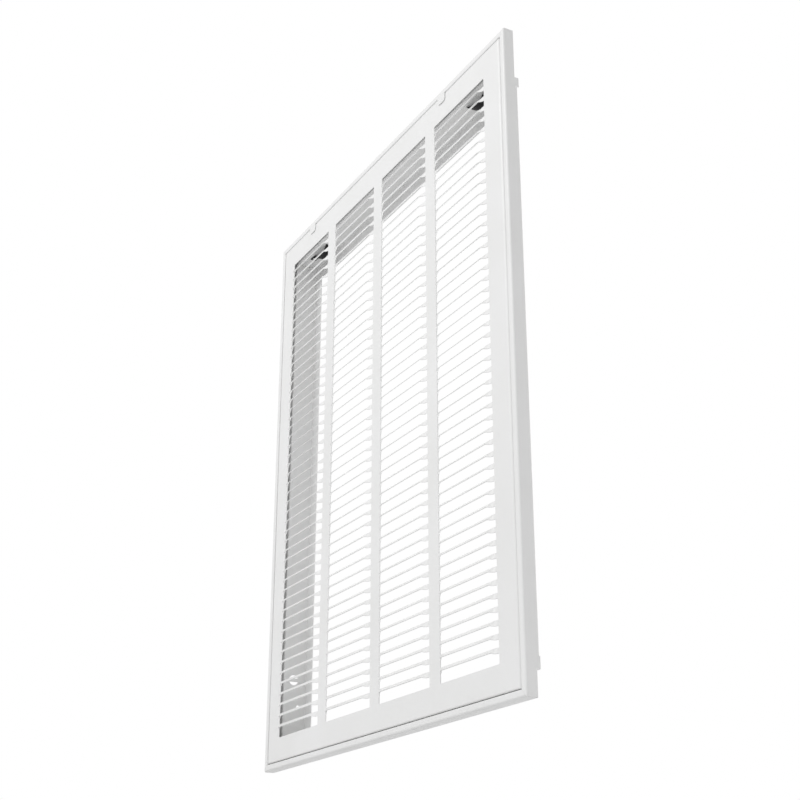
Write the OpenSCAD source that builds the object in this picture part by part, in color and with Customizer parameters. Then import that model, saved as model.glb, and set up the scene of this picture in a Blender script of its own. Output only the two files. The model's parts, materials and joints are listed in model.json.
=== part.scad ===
// Return air filter grille: a folded sheet-steel frame that is screwed into a wall opening,
// and a one-piece stamped door that swings down to reach the filter behind it.
// Origin: centre of the opening in the plane of the wall. +X right, +Y into the wall, +Z up.
// Sections are drawn as (n, d): n is the inset from the outer edge, d the depth behind the face.

/* [Frame] */
// Overall width of the frame
frame_w = 574.7; // [420:0.1:800]
// Overall height of the frame
frame_h = 701.7; // [560:0.1:900]
// Thickness of the frame's sheet
sheet_t = 0.8; // [0.6:0.05:1]
// Depth of the skirt from the face to the wall
skirt_d = 12.5; // [11:0.1:16]
// Outer radius of the rounded outer edge
ridge_r = 2.5; // [1.6:0.1:3]
// Width of the lip between the outer edge and the door
lip_w = 7.5; // [7:0.1:9]
// Outer radius of the sheet's tight bends
bend_r = 1.3; // [1.2:0.05:1.6]
// Depth of the ledge behind the door
ledge_d = 7.5; // [7.3:0.1:8.5]
// Inset of the collar's outer face from the frame's outer edge
collar_n = 32.3; // [28:0.1:40]
// Depth of the collar from the face to its rear edge
collar_d = 37.4; // [30:0.1:60]
// Width of the filter stop on the side rails
stop_side = 18; // [8:0.5:24]
// Width of the filter stop on the top rail
stop_top = 25; // [8:0.5:34]
// Width of the filter stop on the bottom rail
stop_foot = 12; // [8:0.5:34]
// Height of the lapped ears at the collar's corners
ear_h = 12; // [8:0.5:20]
// How far the top ears reach behind the rear edge of the collar
ear_lap = 1.2; // [0:0.1:2]
// Length of the strip that carries an ear on the end rail's wall
ear_root = 6; // [4:0.5:10]
// Gap between two rails along a mitre
mitre_gap = 0.2; // [0.05:0.05:0.4]

/* [Fixings] */
// Radius of the screw holes in the side walls of the collar
screw_r = 2.4; // [2:0.1:3]
// Height of the screw holes above the frame's bottom edge
screw_up = 73.9; // [50:0.1:90]
// Depth of the screw holes behind the face
screw_d = 27; // [22:0.5:27]
// Radius of the access hole near the foot of each side wall
access_r = 6; // [4:0.1:6.4]
// Height of the access hole above the frame's bottom edge
access_up = 105.9; // [100:0.1:250]
// Height of the bar left across the middle of the access hole
access_bar = 4; // [2:0.1:5]
// Depth of the access hole behind the face
access_d = 20.5; // [18:0.5:22]
// Length of each leg of the corner keys
key_leg = 30; // [15:1:40]
// Thickness of the corner keys
key_t = 1; // [0.6:0.1:1.5]
// Width of the corner keys
key_w = 7; // [4:0.5:7.5]
// Gap between the corner keys and the wall
key_back = 1.8; // [1:0.1:3]

/* [Door] */
// Gap between the door and the lip all round
door_gap = 1; // [0.9:0.05:1.4]
// Thickness of the door's sheet
door_t = 0.8; // [0.6:0.05:0.9]
// Gap between the folded edge of the door and the ledge
seat_gap = 0.3; // [0.2:0.05:0.8]
// Outer radius of the door's rounded side edges
side_bend_r = 4; // [1.5:0.1:5]
// Number of columns of slots
columns = 4; // [2:1:6]
// Width of the mullions between the columns
mullion_w = 21.1; // [12:0.1:30]
// Plain margin of the face beside the slots, from the frame's outer edge
margin_side = 41.4; // [36:0.1:50]
// Plain margin of the face above the slots, from the frame's outer edge
margin_top = 39.5; // [38:0.1:60]
// Plain margin of the face below the slots, from the frame's outer edge
margin_foot = 35.3; // [33:0.1:60]
// Radius of the slots' corners
slot_r = 1.2; // [0.6:0.1:2]

/* [Fins] */
// Height from one fin to the next
fin_pitch = 12.54; // [11:0.01:16]
// Width of a fin from its front edge to its back edge
fin_chord = 6.8; // [5:0.1:8]
// Width of a fin where it joins the sheet
fin_neck = 5.2; // [4:0.1:7]
// Slope of the middle of a fin, with the front edge low
fin_tilt = 42; // [35:1:50]
// Length over which each end of a fin twists back into the sheet
fin_twist = 12; // [8:0.5:30]
// Least distance from the slots' ends to the first and last fins
fin_end_gap = 12; // [6:0.1:14]

/* [Hinge] */
// Radius of the hinge pins
pin_r = 1.5; // [1.2:0.05:1.6]
// Radius of the heads of the hinge pins
pin_head_r = 2.1; // [1.9:0.05:2.3]
// Thickness of the heads of the hinge pins
pin_head_t = 1.1; // [0.8:0.1:1.5]
// Running clearance round the pins and rivets
pin_clear = 0.05; // [0.03:0.01:0.08]
// Depth of the hinge line behind the face
hinge_d = 3.2; // [3.1:0.05:3.4]
// Height of the hinge line above the door's bottom edge
hinge_up = 3.4; // [3.2:0.05:3.5]
// Radius of the rounded foot of the door's folds about the hinge line
hinge_ear_r = 4.1; // [3.9:0.05:4.15]

/* [Latches] */
// Inset of the left latch's middle from the frame's left edge
latch_left_n = 100.4; // [55:0.1:160]
// Inset of the right latch's middle from the frame's right edge
latch_right_n = 130.4; // [55:0.1:160]
// Travel of a latch
latch_travel = 5; // [4.5:0.1:5.5]
// Thickness of a latch slide
slide_t = 0.9; // [0.7:0.05:1]
// Width of the thumb tab
tab_w = 15.6; // [12:0.1:20]
// Height of the thumb tab
tab_h = 10.5; // [9:0.1:15]
// Corner radius of the thumb tab
tab_r = 4; // [1:0.1:5]
// Gap between the thumb tab and the face
tab_gap = 0.4; // [0.3:0.05:0.6]
// Width of the bolt and of the bridge over the door's edge
bolt_w = 12; // [8:0.1:12]
// Reach of the bolt behind the lip
bolt_reach = 3.9; // [3:0.1:4]
// Gap round a moving slide
slide_gap = 0.4; // [0.3:0.05:0.5]
// Width of the hidden leg of a slide
leg_w = 18; // [14:0.5:22]
// Length of the hidden leg of a slide below the bottom of the tab
leg_tail = 2.5; // [1:0.1:4]
// Width of each foot of a latch guide
guide_foot = 5; // [3:0.5:8]
// Thickness of a latch guide
guide_t = 0.8; // [0.6:0.05:0.9]
// Outer depth of a latch guide behind the face
guide_d = 6.2; // [5.9:0.1:6.4]
// Distance of a latch guide below the notch for its slide
guide_drop = 1.5; // [1:0.1:3]
// Free length between the slide and the guide's floor
spring_l = 11; // [10:0.1:12]
// Mean radius of a latch spring
spring_r = 1.4; // [1:0.1:1.5]
// Wire thickness of a latch spring
spring_wire = 0.5; // [0.3:0.05:0.5]
// Number of turns of a latch spring
spring_turns = 6; // [4:1:6]

/* [Filter clips] */
// Inset of a clip's middle from the frame's side edge
clip_n = 86; // [75:0.5:160]
// Thickness of a clip
clip_t = 0.7; // [0.5:0.05:1]
// Width of a clip from front to back
clip_w = 8; // [7:0.5:14]
// Middle of a clip behind the face
clip_d = 21; // [17:0.5:24]
// Length of the bow of a clip
clip_bow = 38; // [24:1:40]
// How far the bow hangs down
clip_sag = 9.5; // [3:0.5:11]
// Length of the riveted flat of a clip
clip_flat = 11; // [9:0.5:14]
// Radius of the rivets' shanks
rivet_r = 1.6; // [1.2:0.1:1.8]
// Radius of the rivets' heads
rivet_head_r = 3; // [2.5:0.1:4]
// Thickness of the rivets' heads
rivet_head_t = 0.9; // [0.6:0.1:1.2]

/* [Hidden] */
$fn = 48;
paint = [0.91, 0.91, 0.91];
zinc = [0.72, 0.73, 0.75];
black = [0.05, 0.05, 0.055];

// Gap of a loose piece from what carries it
seat = 0.3;
// Overlap that joins two forms of one piece
bite = 0.3;
// How far a cutting form reaches past what it cuts
clear = 1;
// Step between a fin's faces and the faces of the sheet where they join
fin_step = 0.02;
half_w = frame_w / 2;
half_h = frame_h / 2;
bend_in = bend_r - sheet_t;
mitre = collar_n + max(stop_side, stop_top, stop_foot) + clear;
mitre_trim = mitre_gap / sqrt(2);
wall_n = collar_n + sheet_t;
ear_d0 = skirt_d + clear;

door_n = lip_w + door_gap;
door_half_w = half_w - door_n;
door_half_h = half_h - door_n;
fold_d = ledge_d - seat_gap;
hinge_z = -door_half_h + hinge_up;

slots_w = frame_w - 2 * margin_side;
column_w = (slots_w - (columns - 1) * mullion_w) / columns;
slots_z0 = -half_h + margin_foot;
slots_z1 = half_h - margin_top;
fin_rows = floor((slots_z1 - slots_z0 - 2 * fin_end_gap) / fin_pitch + 0.001) + 1;
fins_z0 = (slots_z0 + slots_z1 - (fin_rows - 1) * fin_pitch) / 2;

latch_left_x = latch_left_n - half_w;
latch_right_x = half_w - latch_right_n;
slide_d = door_t + slide_gap;
bridge_top = half_h - lip_w - seat;
notch_floor = bridge_top - slide_t - latch_travel - slide_gap;
bolt_top = half_h - lip_w + bolt_reach;
leg_floor = bridge_top - tab_h - leg_tail;
guide_floor = leg_floor - spring_l;
guide_top = notch_floor - guide_drop;
guide_half = leg_w / 2 + slide_gap;

clip_x = half_w - clip_n;
clip_z = half_h - wall_n;
rivet_x = clip_x + clip_bow / 2 + clip_flat / 2;

// Quarter of a bent sheet about (cn, cd), towards the given signs
module bend(cn, cd, r_in, r_out, sn, sd) {
    translate([cn, cd])
        intersection() {
            difference() {
                circle(r_out);
                circle(r_in);
            }
            translate([sn > 0 ? 0 : -r_out, sd > 0 ? 0 : -r_out])
                square(r_out);
        }
}

module box_2d(n0, n1, d0, d1) {
    translate([n0, d0])
        square([n1 - n0, d1 - d0]);
}

// Section of a rail: skirt, rounded edge, lip, ledge, collar wall and filter stop
module rail_section(stop_w) {
    in = bend_in;
    out = bend_r;
    t = sheet_t;
    box_2d(0, t, ridge_r, skirt_d);
    bend(ridge_r, ridge_r, ridge_r - t, ridge_r, -1, -1);
    box_2d(ridge_r, lip_w - out, 0, t);
    bend(lip_w - out, out, in, out, 1, -1);
    box_2d(lip_w - t, lip_w, out, ledge_d - in);
    bend(lip_w + in, ledge_d - in, in, out, -1, 1);
    box_2d(lip_w + in, collar_n - in, ledge_d, ledge_d + t);
    bend(collar_n - in, ledge_d + out, in, out, 1, -1);
    box_2d(collar_n, wall_n, ledge_d + out, collar_d - out);
    bend(wall_n + in, collar_d - out, in, out, -1, 1);
    box_2d(wall_n + in, collar_n + stop_w, collar_d - t, collar_d);
}

// Keeps what lies inside the mitred outline of a rail of the given length
module mitre_prism(length) {
    h = length / 2 - mitre_trim;
    translate([0, mitre, 0])
        rotate([90, 0, 0])
            linear_extrude(2 * mitre)
                polygon([[0, -h], [0, h], [mitre, h - mitre], [mitre, mitre - h]]);
}

// Rail along Z with its outer edge at x = 0
module rail(length, stop_w) {
    intersection() {
        translate([0, -skirt_d, 0])
            linear_extrude(length, center = true)
                rail_section(stop_w);
        mitre_prism(length);
    }
}

// Corner ear of an end rail: the collar wall folds down outside the side rail's wall
module collar_ear(lap) {
    x0 = half_w - collar_n;
    z0 = half_h - collar_n;
    translate([0, collar_d + lap - skirt_d, 0])
        rotate([90, 0, 0])
            linear_extrude(collar_d + lap - ear_d0) {
                box_2d(x0 - ear_root, x0, z0 - sheet_t, z0);
                box_2d(x0, x0 + sheet_t, z0 - ear_h, z0 - sheet_t);
                bend(x0, z0 - sheet_t, 0, sheet_t, 1, 1);
            }
}

// Room that a side rail leaves for the ears of the end rails
module ear_room() {
    translate([half_w - wall_n - clear, ear_d0 - mitre_gap - skirt_d, half_h - wall_n - mitre_gap])
        cube([sheet_t + 2 * clear, collar_d + clear - ear_d0 + mitre_gap, sheet_t + mitre_gap + clear]);
}

module end_rail(stop_w, lap) {
    translate([0, 0, half_h])
        rotate([0, 90, 0])
            rail(frame_w, stop_w);
    for (side = [0, 1])
        mirror([side, 0, 0])
            collar_ear(lap);
}

// Left side rail, drawn at its place, with its screw hole, access hole and hinge hole
module side_rail() {
    difference() {
        translate([-half_w, 0, 0])
            rail(frame_h, stop_side);
        for (top = [0, 1])
            mirror([0, 0, top])
                mirror([1, 0, 0])
                    ear_room();
        wall_cut(screw_d, screw_up)
            circle(screw_r);
        wall_cut(access_d, access_up)
            difference() {
                circle(access_r);
                square([access_bar, 2 * access_r], center = true);
            }
        translate([-half_w + lip_w - sheet_t / 2, hinge_d - skirt_d, hinge_z])
            rotate([0, 90, 0])
                cylinder(h = 2 * sheet_t, r = pin_r + pin_clear, center = true);
    }
}

// Cuts a drawn outline through the side wall of the collar, up above the frame's bottom edge
module wall_cut(d, up) {
    translate([-half_w + collar_n + sheet_t / 2, d - skirt_d, up - half_h])
        rotate([0, 90, 0])
            linear_extrude(4 * sheet_t, center = true)
                children();
}

// Slot in the lip that keeps a latch bolt
module keeper_slot(x) {
    translate([x - bolt_w / 2 - slide_gap, slide_d - slide_gap - skirt_d, half_h - lip_w - clear])
        cube([bolt_w + 2 * slide_gap, slide_t + 2 * slide_gap, sheet_t + 2 * clear]);
}

module rivet_hole(x) {
    translate([x, clip_d - skirt_d, clip_z])
        cylinder(h = 4 * sheet_t, r = rivet_r + pin_clear, center = true);
}

module frame_top() {
    color(paint)
        difference() {
            end_rail(stop_top, ear_lap);
            keeper_slot(latch_left_x);
            keeper_slot(latch_right_x);
            rivet_hole(-rivet_x);
            rivet_hole(rivet_x);
        }
}

module frame_bottom() {
    color(paint)
        mirror([0, 0, 1])
            end_rail(stop_foot, 0);
}

module frame_left() {
    color(paint)
        side_rail();
}

module frame_right() {
    color(paint)
        mirror([1, 0, 0])
            side_rail();
}

// Bent strip that holds a mitre together from inside the hollow edge
module corner_key(right, top) {
    color(zinc)
        mirror([right, 0, 0])
            mirror([0, 0, 1 - top])
                translate([-half_w + sheet_t, -key_back, half_h - sheet_t])
                    rotate([90, 0, 0])
                        linear_extrude(key_w)
                            difference() {
                                translate([0, -key_leg])
                                    square(key_leg);
                                translate([key_t, -key_leg - clear])
                                    square([key_leg, key_leg + clear - key_t]);
                            }
}

// Outline of the door across one direction, its front corners rounded, drawn in by the inset
module pan_outline(half, r, inset) {
    w = half - inset;
    depth = inset > 0 ? fold_d + clear : fold_d;
    box_2d(-w, w, r, depth);
    box_2d(r - half, half - r, inset, depth);
    for (side = [-1, 1])
        translate([side * (half - r), r])
            circle(r - inset);
}

// Block with the door's rounded front edges
module pan_form(inset) {
    intersection() {
        translate([0, -skirt_d, 0])
            linear_extrude(2 * (door_half_h - inset), center = true)
                pan_outline(door_half_w, side_bend_r, inset);
        translate([0, -skirt_d, 0])
            rotate([0, 90, 0])
                linear_extrude(2 * (door_half_w - inset), center = true)
                    pan_outline(door_half_h, bend_r, inset);
    }
}

// Everything behind and below the hinge line, outside the folds' round foot
module swing_relief() {
    translate([0, hinge_d - skirt_d, hinge_z])
        rotate([90, 0, 90])
            linear_extrude(frame_w, center = true)
                difference() {
                    translate([0, -2 * hinge_up])
                        square(2 * hinge_up);
                    circle(hinge_ear_r);
                }
}

// Face and folded edges of the door, with its windows
module door_pan() {
    difference() {
        pan_form(0);
        pan_form(door_t);
        swing_relief();
        translate([0, hinge_d - skirt_d, hinge_z])
            rotate([0, 90, 0])
                cylinder(h = frame_w, r = pin_r + pin_clear, center = true);
        translate([0, door_t + clear - skirt_d, 0])
            rotate([90, 0, 0])
                linear_extrude(door_t + 2 * clear)
                    for (i = [0 : columns - 1])
                        window_2d(column_x(i));
    }
}

// One window of the face, with small corner radii
module window_2d(x0) {
    w = column_w;
    h = slots_z1 - slots_z0;
    translate([x0, slots_z0]) {
        translate([slot_r, 0])
            square([w - 2 * slot_r, h]);
        translate([0, slot_r])
            square([w, h - 2 * slot_r]);
        for (x = [slot_r, w - slot_r], z = [slot_r, h - slot_r])
            translate([x, z])
                circle(slot_r, $fn = 24);
    }
}

function column_x(i) = -slots_w / 2 + i * (column_w + mullion_w);

// Section of a fin at x, with its share of the way from sheet to full slope. The upper edge stays
// in the sheet and the lower edge comes forward.
function fin_section(x, share) =
    let (a = 90 + share * (fin_tilt - 90),
        w = fin_neck + share * (fin_chord - fin_neck),
        t = door_t / 2 - fin_step)
    [for (p = [[-w, -t], [0, -t], [0, t], [-w, t]])
        [x, door_t / 2 + p[0] * cos(a) - p[1] * sin(a), fin_neck / 2 + p[0] * sin(a) + p[1] * cos(a)]];

// Faces between two sections of four points, split along mirrored diagonals where a fin twists
function fin_walls(i, kind) =
    [for (k = [0 : 3])
        let (a = 4 * i + k, b = 4 * i + (k + 1) % 4)
        each kind == 0 ? [[a, a + 4, b + 4, b]]
            : kind < 0 ? [[a, a + 4, b + 4], [a, b + 4, b]]
            : [[a, a + 4, b], [a + 4, b + 4, b]]];

// Bent strip across a column: its ends lie in the sheet and its middle stands forward at the full slope
module fin() {
    half = column_w / 2;
    stations = [[-half - bite, 0], [fin_twist / 2 - half, 0.5], [fin_twist - half, 1],
        [half - fin_twist, 1], [half - fin_twist / 2, 0.5], [half + bite, 0]];
    points = [for (s = stations) each fin_section(s[0], s[1])];
    walls = [for (i = [0 : 4]) each fin_walls(i, sign(i - 2))];
    translate([0, -skirt_d, 0])
        polyhedron(points, concat(walls, [[0, 1, 2, 3], [23, 22, 21, 20]]));
}

module latch_notch(x) {
    translate([x - bolt_w / 2 - slide_gap, -skirt_d - clear, notch_floor])
        cube([bolt_w + 2 * slide_gap, slide_d + slide_t + slide_gap + clear, door_half_h]);
}

module door_panel() {
    color(paint)
        difference() {
            union() {
                door_pan();
                for (i = [0 : columns - 1], row = [0 : fin_rows - 1])
                    translate([column_x(i) + column_w / 2, 0, fins_z0 + row * fin_pitch])
                        fin();
            }
            latch_notch(latch_left_x);
            latch_notch(latch_right_x);
        }
}

// Left hinge pin: staked in the frame's lip, with a head that clears the door's rounded side edge
module hinge_pin() {
    bend_n = side_bend_r - sqrt(pow(side_bend_r - door_t, 2) - pow(side_bend_r - hinge_d + pin_head_r, 2));
    n0 = lip_w - sheet_t - pin_head_t;
    n1 = door_n + bend_n + seat;
    color(zinc)
        translate([-half_w, hinge_d - skirt_d, hinge_z])
            rotate([0, 90, 0]) {
                translate([0, 0, n0])
                    cylinder(h = n1 + pin_head_t - n0, r = pin_r);
                translate([0, 0, n0])
                    cylinder(h = pin_head_t, r = pin_head_r);
                translate([0, 0, n1])
                    cylinder(h = pin_head_t, r = pin_head_r);
            }
}

module hinge_pin_left() {
    hinge_pin();
}

module hinge_pin_right() {
    mirror([1, 0, 0])
        hinge_pin();
}

// Box given by its limits across, in depth behind the face, and in height
module block(x0, x1, d0, d1, z0, z1) {
    translate([x0, d0 - skirt_d, z0])
        cube([x1 - x0, d1 - d0, z1 - z0]);
}

// Thumb tab, bridge over the door's edge, bolt, hidden leg and spring foot in one folded strip
module latch_slide(x) {
    tab_d1 = -tab_gap;
    tab_d0 = tab_d1 - slide_t;
    leg_d1 = slide_d + slide_t;
    shoulder = notch_floor - clear;
    foot_d1 = guide_d - guide_t - seat;
    color(paint)
        translate([x, 0, 0]) {
            translate([0, tab_d1 - skirt_d, 0])
                rotate([90, 0, 0])
                    linear_extrude(slide_t) {
                        box_2d(-tab_w / 2, tab_w / 2, bridge_top - tab_h + tab_r, bridge_top);
                        box_2d(tab_r - tab_w / 2, tab_w / 2 - tab_r, bridge_top - tab_h, bridge_top);
                        for (side = [-1, 1])
                            translate([side * (tab_w / 2 - tab_r), bridge_top - tab_h + tab_r])
                                circle(tab_r);
                    }
            block(-bolt_w / 2, bolt_w / 2, tab_d0, leg_d1, bridge_top - slide_t, bridge_top);
            block(-bolt_w / 2, bolt_w / 2, slide_d, leg_d1, shoulder, bolt_top);
            block(-leg_w / 2, leg_w / 2, slide_d, leg_d1, leg_floor, shoulder);
            block(-leg_w / 2, leg_w / 2, slide_d, foot_d1, leg_floor, leg_floor + slide_t);
        }
}

module latch_slide_left() {
    latch_slide(latch_left_x);
}

module latch_slide_right() {
    latch_slide(latch_right_x);
}

// Hat-shaped channel on the back of the door, with a floor for the spring
module latch_guide(x) {
    outer = guide_half + guide_t;
    color(zinc)
        translate([x, 0, 0]) {
            for (side = [0, 1])
                mirror([side, 0, 0]) {
                    block(guide_half, outer + guide_foot, door_t, door_t + guide_t, guide_floor, guide_top);
                    block(guide_half, outer, door_t, guide_d, guide_floor, guide_top);
                }
            block(-outer, outer, guide_d - guide_t, guide_d, guide_floor, guide_top);
            block(-outer, outer, door_t + seat, guide_d, guide_floor - guide_t, guide_floor);
        }
}

module latch_guide_left() {
    latch_guide(latch_left_x);
}

module latch_guide_right() {
    latch_guide(latch_right_x);
}

// Coil spring along Z: rings of points swept along a helix, closed at both ends
module coil(r, wire_r, length, turns) {
    sides = 6;
    steps = turns * 10;
    rise = (length - 2 * wire_r) / steps;
    points = [for (i = [0 : steps], k = [0 : sides - 1])
        let (a = i * 360 / 10, b = k * 360 / sides, out = r + wire_r * cos(b))
        [out * cos(a), out * sin(a), wire_r + i * rise + wire_r * sin(b)]];
    walls = [for (i = [0 : steps - 1], k = [0 : sides - 1])
        let (a = i * sides + k, b = i * sides + (k + 1) % sides)
        [a, a + sides, b + sides, b]];
    first = [for (k = [0 : sides - 1]) k];
    last = [for (k = [sides - 1 : -1 : 0]) steps * sides + k];
    polyhedron(points, concat(walls, [first, last]));
}

module latch_spring(x) {
    color(zinc)
        translate([x, (slide_d + guide_d - guide_t) / 2 - skirt_d, guide_floor + seat])
            coil(spring_r, spring_wire / 2, spring_l - 2 * seat, spring_turns);
}

module latch_spring_left() {
    latch_spring(latch_left_x);
}

module latch_spring_right() {
    latch_spring(latch_right_x);
}

// Bowed leaf under the top collar wall, riveted at its outer end
module filter_clip() {
    bow_r = (clip_bow * clip_bow / 4 + clip_sag * clip_sag) / (2 * clip_sag);
    color(black)
        difference() {
            translate([clip_x, clip_d + clip_w / 2 - skirt_d, clip_z])
                rotate([90, 0, 0])
                    linear_extrude(clip_w) {
                        box_2d(clip_bow / 2 - bite, clip_bow / 2 + clip_flat, -clip_t, 0);
                        intersection() {
                            translate([0, bow_r - clip_sag])
                                difference() {
                                    circle(bow_r, $fn = 96);
                                    circle(bow_r - clip_t, $fn = 96);
                                }
                            box_2d(-clip_bow / 2, clip_bow / 2, -clip_sag - clear, 0);
                        }
                    }
            translate([rivet_x, clip_d - skirt_d, clip_z])
                cylinder(h = 4 * clip_t, r = rivet_r + pin_clear, center = true);
        }
}

module filter_clip_left() {
    mirror([1, 0, 0])
        filter_clip();
}

module filter_clip_right() {
    filter_clip();
}

module rivet(x) {
    translate([x, clip_d - skirt_d, clip_z]) {
        translate([0, 0, -clip_t - rivet_head_t])
            cylinder(h = clip_t + sheet_t + 2 * rivet_head_t, r = rivet_r);
        translate([0, 0, -clip_t - rivet_head_t])
            cylinder(h = rivet_head_t, r = rivet_head_r);
        translate([0, 0, sheet_t])
            cylinder(h = rivet_head_t, r = rivet_head_r);
    }
}

module clip_rivets() {
    color(zinc) {
        rivet(-rivet_x);
        rivet(rivet_x);
    }
}

frame_top();
frame_bottom();
frame_left();
frame_right();
corner_key(0, 1);  // corner_key_tl
corner_key(1, 1);  // corner_key_tr
corner_key(0, 0);  // corner_key_bl
corner_key(1, 0);  // corner_key_br
filter_clip_left();
filter_clip_right();
clip_rivets();
door_panel();
hinge_pin_left();
hinge_pin_right();
latch_slide_left();
latch_slide_right();
latch_guide_left();
latch_guide_right();
latch_spring_left();
latch_spring_right();
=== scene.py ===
import json
import math

import bmesh
import bpy
from mathutils import Matrix, Vector

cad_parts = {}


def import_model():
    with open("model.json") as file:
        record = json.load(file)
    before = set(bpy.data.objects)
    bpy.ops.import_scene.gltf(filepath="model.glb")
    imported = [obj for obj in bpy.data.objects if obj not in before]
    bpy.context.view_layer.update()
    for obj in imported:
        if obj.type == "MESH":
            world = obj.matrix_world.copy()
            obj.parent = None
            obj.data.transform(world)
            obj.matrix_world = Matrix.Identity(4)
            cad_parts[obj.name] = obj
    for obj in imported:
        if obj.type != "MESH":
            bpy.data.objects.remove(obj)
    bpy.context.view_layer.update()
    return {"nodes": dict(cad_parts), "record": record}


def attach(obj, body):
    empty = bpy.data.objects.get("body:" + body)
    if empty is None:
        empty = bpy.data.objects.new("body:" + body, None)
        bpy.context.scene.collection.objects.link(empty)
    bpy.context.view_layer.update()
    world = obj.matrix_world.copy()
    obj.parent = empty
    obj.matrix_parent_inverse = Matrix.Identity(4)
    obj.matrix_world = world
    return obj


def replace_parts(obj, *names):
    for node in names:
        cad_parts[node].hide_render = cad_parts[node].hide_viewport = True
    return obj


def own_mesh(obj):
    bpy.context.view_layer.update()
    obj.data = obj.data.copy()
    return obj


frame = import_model()

# Camera: place in metres, direction in degrees round the object and above the horizon
CAMERA_AT = (1.3156, -0.6870, -0.5677)
CAMERA_AZIMUTH = 61.816
CAMERA_ELEVATION = -23.214
CAMERA_SENSOR = 36.0
CAMERA_LENS = 63.154
CAMERA_SHIFT_Y = -0.0400

# Light: strength of the sky, and place, size and power of each soft lamp
SKY = 0.46
LAMPS = {
    "key": ((-0.1, -2.6, 2.0), 1.4, 49.0),
    "fill": ((2.6, -1.0, 0.3), 2.0, 8.5),
    "back": ((0.5, 2.6, -0.5), 2.4, 44.0),
}
FLOOR_Z = -0.95
FLOOR_SIZE = 14.0

# Part of a noise's range over which a colour or a roughness runs from low to high
NOISE_LOW = 0.3
NOISE_HIGH = 0.7

# Surfaces: roughness of the clear coat, spangles per metre, and heights of relief in metres
COAT_ROUGHNESS = 0.3
SPANGLES = 280.0
WAVE_HEIGHT = 0.0006
PEEL_HEIGHT = 0.00004
LINE_HEIGHT = 0.00003
MARK_HEIGHT = 0.00002
GRAIN_HEIGHT = 0.00004

# Door's columns and fins, in metres and degrees. A fin turns about its upper edge, from the sheet's
# plane at its ends to its full slope over the length FIN_TWIST.
COLUMNS = (-0.192375, -0.064125, 0.064125, 0.192375)
COLUMN_HALF = 0.053575
SHEET_Y = -0.0121
SHEET = 0.00076
FIN_ROWS = 49
FIN_PITCH = 0.01254
FIN_FOOT = -0.30306
FIN_TOP = 0.0026
FIN_NECK = 0.0053
FIN_CHORD = 0.00679
FIN_FLAT = 90.0
FIN_SLOPE = 42.0
FIN_TWIST = 0.0088
FIN_STEPS = 8
FIN_BITE = 0.0003


def material(name, metallic, coat=0.0):
    """New material with its shader's constant values, its nodes and object coordinates."""
    made = bpy.data.materials.new(name)
    made.use_nodes = True
    nodes = made.node_tree.nodes
    shader = nodes["Principled BSDF"]
    shader.inputs["Metallic"].default_value = metallic
    shader.inputs["Coat Weight"].default_value = coat
    shader.inputs["Coat Roughness"].default_value = COAT_ROUGHNESS
    place = nodes.new("ShaderNodeTexCoord")
    return made, shader, place.outputs["Object"]


def noise(made, place, size, detail=2.0, stretch=(1.0, 1.0, 1.0)):
    """Noise whose features measure about size metres, drawn out by stretch."""
    tree = made.node_tree
    mapping = tree.nodes.new("ShaderNodeMapping")
    mapping.inputs["Scale"].default_value = [1.0 / (size * s) for s in stretch]
    texture = tree.nodes.new("ShaderNodeTexNoise")
    texture.inputs["Scale"].default_value = 1.0
    texture.inputs["Detail"].default_value = detail
    tree.links.new(place, mapping.inputs["Vector"])
    tree.links.new(mapping.outputs["Vector"], texture.inputs["Vector"])
    return texture.outputs["Fac"]


def vary_colour(made, shader, value, low, high):
    """Base colour that runs from low to high with the value."""
    tree = made.node_tree
    ramp = tree.nodes.new("ShaderNodeValToRGB")
    ramp.color_ramp.elements[0].position = NOISE_LOW
    ramp.color_ramp.elements[0].color = (*low, 1.0)
    ramp.color_ramp.elements[1].position = NOISE_HIGH
    ramp.color_ramp.elements[1].color = (*high, 1.0)
    tree.links.new(value, ramp.inputs["Fac"])
    tree.links.new(ramp.outputs["Color"], shader.inputs["Base Color"])


def vary_roughness(made, shader, value, low, high):
    """Roughness that runs from low to high with the value."""
    tree = made.node_tree
    span = tree.nodes.new("ShaderNodeMapRange")
    span.inputs["From Min"].default_value = NOISE_LOW
    span.inputs["From Max"].default_value = NOISE_HIGH
    span.inputs["To Min"].default_value = low
    span.inputs["To Max"].default_value = high
    tree.links.new(value, span.inputs["Value"])
    tree.links.new(span.outputs["Result"], shader.inputs["Roughness"])


def relief(made, shader, layers):
    """Bump from several values, each with its height in metres."""
    tree = made.node_tree
    normal = None
    for value, height in layers:
        bump = tree.nodes.new("ShaderNodeBump")
        bump.inputs["Distance"].default_value = height
        tree.links.new(value, bump.inputs["Height"])
        if normal is not None:
            tree.links.new(normal, bump.inputs["Normal"])
        normal = bump.outputs["Normal"]
    tree.links.new(normal, shader.inputs["Normal"])


def powder_coat():
    """Satin white powder coat: fine orange peel over slight waves of the sheet."""
    made, shader, place = material("powder_coat", 0.0, coat=0.04)
    shader.inputs["Specular IOR Level"].default_value = 0.3
    clouds = noise(made, place, 0.09, detail=3.0)
    peel = noise(made, place, 0.0016, detail=2.0)
    waves = noise(made, place, 0.11, detail=1.0)
    vary_colour(made, shader, clouds, (0.835, 0.835, 0.83), (0.865, 0.866, 0.866))
    vary_roughness(made, shader, peel, 0.36, 0.5)
    relief(made, shader, [(waves, WAVE_HEIGHT), (peel, PEEL_HEIGHT)])
    return made


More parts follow.
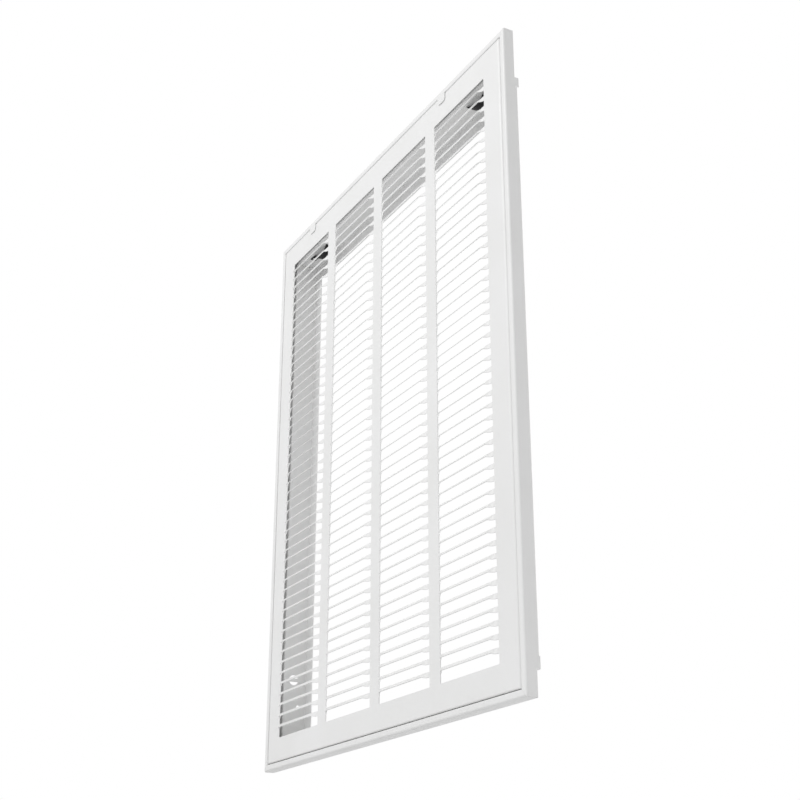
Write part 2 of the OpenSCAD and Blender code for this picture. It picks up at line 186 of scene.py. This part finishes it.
def zinc_steel():
    """Zinc-plated strip with a faint spangle and rolling lines."""
    made, shader, place = material("zinc_steel", 1.0)
    tree = made.node_tree
    spangle = tree.nodes.new("ShaderNodeTexVoronoi")
    spangle.inputs["Scale"].default_value = SPANGLES
    tree.links.new(place, spangle.inputs["Vector"])
    lines = noise(made, place, 0.0008, detail=2.0, stretch=(12.0, 1.0, 1.0))
    vary_colour(made, shader, spangle.outputs["Distance"], (0.56, 0.57, 0.59), (0.68, 0.69, 0.7))
    vary_roughness(made, shader, lines, 0.3, 0.46)
    relief(made, shader, [(lines, LINE_HEIGHT)])
    return made


def rivet_steel():
    """Bright drawn steel with fine turning marks."""
    made, shader, place = material("rivet_steel", 1.0)
    marks = noise(made, place, 0.0005, detail=3.0, stretch=(8.0, 1.0, 1.0))
    vary_colour(made, shader, marks, (0.6, 0.61, 0.63), (0.74, 0.75, 0.76))
    vary_roughness(made, shader, marks, 0.24, 0.42)
    relief(made, shader, [(marks, MARK_HEIGHT)])
    return made


def black_steel():
    """Blackened spring steel, a little worn to grey."""
    made, shader, place = material("black_steel", 0.0)
    shader.inputs["Specular IOR Level"].default_value = 0.2
    wear = noise(made, place, 0.004, detail=4.0)
    grain = noise(made, place, 0.0009, detail=2.0)
    vary_colour(made, shader, wear, (0.008, 0.008, 0.009), (0.022, 0.022, 0.023))
    vary_roughness(made, shader, grain, 0.34, 0.55)
    relief(made, shader, [(grain, GRAIN_HEIGHT)])
    return made


def camera():
    """Camera at the photograph's angle."""
    azimuth = math.radians(CAMERA_AZIMUTH)
    elevation = math.radians(CAMERA_ELEVATION)
    ahead = Vector((
        -math.sin(azimuth) * math.cos(elevation),
        math.cos(azimuth) * math.cos(elevation),
        -math.sin(elevation),
    ))
    right = Vector((math.cos(azimuth), math.sin(azimuth), 0.0))
    up = right.cross(ahead)
    data = bpy.data.cameras.new("camera")
    data.sensor_width = CAMERA_SENSOR
    data.lens = CAMERA_LENS
    data.shift_y = CAMERA_SHIFT_Y
    made = bpy.data.objects.new("camera", data)
    turn = Matrix((right, up, -ahead)).transposed().to_4x4()
    made.matrix_world = Matrix.Translation(CAMERA_AT) @ turn
    bpy.context.collection.objects.link(made)
    bpy.context.scene.camera = made


def lamp(name, at, size, power):
    """Soft round lamp that faces the object's middle."""
    data = bpy.data.lights.new(name, "AREA")
    data.shape = "DISK"
    data.size = size
    data.energy = power
    made = bpy.data.objects.new(name, data)
    made.location = at
    made.rotation_euler = (-Vector(at)).to_track_quat("-Z", "Y").to_euler()
    bpy.context.collection.objects.link(made)


def world():
    """Plain grey-white sky that shows as white behind the object and in gloss."""
    made = bpy.data.worlds.new("studio")
    made.use_nodes = True
    tree = made.node_tree
    tree.nodes.clear()
    path = tree.nodes.new("ShaderNodeLightPath")
    seen = path.outputs["Is Camera Ray"]
    for name in ("Is Glossy Ray", "Is Transmission Ray"):
        either = tree.nodes.new("ShaderNodeMath")
        either.operation = "MAXIMUM"
        tree.links.new(seen, either.inputs[0])
        tree.links.new(path.outputs[name], either.inputs[1])
        seen = either.outputs[0]
    mix = tree.nodes.new("ShaderNodeMixShader")
    tree.links.new(seen, mix.inputs[0])
    for slot, strength in ((1, SKY), (2, 1.0)):
        sky = tree.nodes.new("ShaderNodeBackground")
        sky.inputs["Color"].default_value = (1.0, 1.0, 1.0, 1.0)
        sky.inputs["Strength"].default_value = strength
        tree.links.new(sky.outputs[0], mix.inputs[slot])
    out = tree.nodes.new("ShaderNodeOutputWorld")
    tree.links.new(mix.outputs[0], out.inputs["Surface"])
    bpy.context.scene.world = made


def floor():
    """Pale floor well below the grille, out of the photograph's view."""
    half = FLOOR_SIZE / 2
    mesh = bpy.data.meshes.new("floor")
    outline = ((-half, -half), (half, -half), (half, half), (-half, half))
    mesh.from_pydata([(x, y, FLOOR_Z) for x, y in outline], [], [(0, 1, 2, 3)])
    made = bpy.data.objects.new("floor", mesh)
    bpy.context.collection.objects.link(made)
    paint, shader, place = material("floor", 0.0)
    vary_colour(paint, shader, noise(paint, place, 0.5), (0.86, 0.86, 0.86), (0.89, 0.89, 0.89))
    shader.inputs["Roughness"].default_value = 0.8
    mesh.materials.append(paint)


def dress_frame(materials):
    """Gives each CAD node the material of its slot in the record."""
    for part in frame["record"]["subparts"]:
        node = frame["nodes"][part["node"]]
        for slot in node.material_slots:
            slot.material = materials[part["material_slot"]]


def fin_section(x, share):
    """Four corners of a fin at x, with its share of the way to full slope."""
    turn = math.radians(FIN_FLAT + share * (FIN_SLOPE - FIN_FLAT))
    width = FIN_NECK + share * (FIN_CHORD - FIN_NECK)
    half = SHEET / 2
    return [(x, SHEET_Y + along * math.cos(turn) - off * math.sin(turn),
             FIN_TOP + along * math.sin(turn) + off * math.cos(turn))
            for along, off in ((-width, -half), (0.0, -half), (0.0, half), (-width, half))]


def fin_sections():
    """Sections from one end of a fin to the other, with an eased twist near both ends."""
    steps = [i / FIN_STEPS for i in range(1, FIN_STEPS + 1)]
    left = [(-COLUMN_HALF - FIN_BITE, 0.0)]
    left += [(-COLUMN_HALF + step * FIN_TWIST, step * step * (3.0 - 2.0 * step)) for step in steps]
    right = [(-x, share) for x, share in reversed(left)]
    return [fin_section(x, share) for x, share in left + right]


def stamped_door(finish):
    """Door with its sheet and folds as in the frame, and with smoothly bent fins."""
    mesh = frame["nodes"]["door_panel"].data.copy()
    form = bmesh.new()
    form.from_mesh(mesh)
    cad_fins = [v for v in form.verts if abs(v.co.z) < -FIN_FOOT + FIN_PITCH
                and any(abs(v.co.x - x) < COLUMN_HALF - FIN_NECK / 2 for x in COLUMNS)]
    bmesh.ops.delete(form, geom=cad_fins, context="VERTS")
    bmesh.ops.delete(form, geom=[v for v in form.verts if not v.link_faces], context="VERTS")
    sections = fin_sections()
    for column in COLUMNS:
        for row in range(FIN_ROWS):
            place = Vector((column, 0.0, FIN_FOOT + row * FIN_PITCH))
            rings = [[form.verts.new(Vector(p) + place) for p in ring] for ring in sections]
            for one, two in zip(rings, rings[1:]):
                for k in range(4):
                    face = form.faces.new((one[k], two[k], two[(k + 1) % 4], one[(k + 1) % 4]))
                    face.smooth = True
                    form.edges.get((one[k], two[k])).smooth = False
            form.faces.new(rings[0])
            form.faces.new(reversed(rings[-1]))
    form.to_mesh(mesh)
    form.free()
    mesh.materials.clear()
    mesh.materials.append(finish)
    made = bpy.data.objects.new("stamped_door", mesh)
    bpy.context.collection.objects.link(made)
    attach(made, "door")
    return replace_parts(made, "door_panel")


def latch_springs(finish):
    """Latch springs, copied from the model's springs with the given finish and fixed to the door.
    """
    for side in ("left", "right"):
        node, joint = "latch_spring_" + side, f"latch_{side}_slide"
        mesh = frame["nodes"][node].data.copy()
        mesh.materials.clear()
        mesh.materials.append(finish)
        made = bpy.data.objects.new("coil_spring_" + side, mesh)
        bpy.context.collection.objects.link(made)
        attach(made, "door")
        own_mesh(made)
        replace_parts(made, node)


camera()
world()
floor()
for lamp_name, (lamp_at, lamp_size, lamp_power) in LAMPS.items():
    lamp(lamp_name, lamp_at, lamp_size, lamp_power)
paint, bright = powder_coat(), rivet_steel()
stamped_door(paint)
latch_springs(bright)
dress_frame({
    "powder_coat": paint,
    "zinc_steel": zinc_steel(),
    "rivet_steel": bright,
    "black_steel": black_steel(),
})
bpy.context.scene.view_settings.view_transform = "Standard"
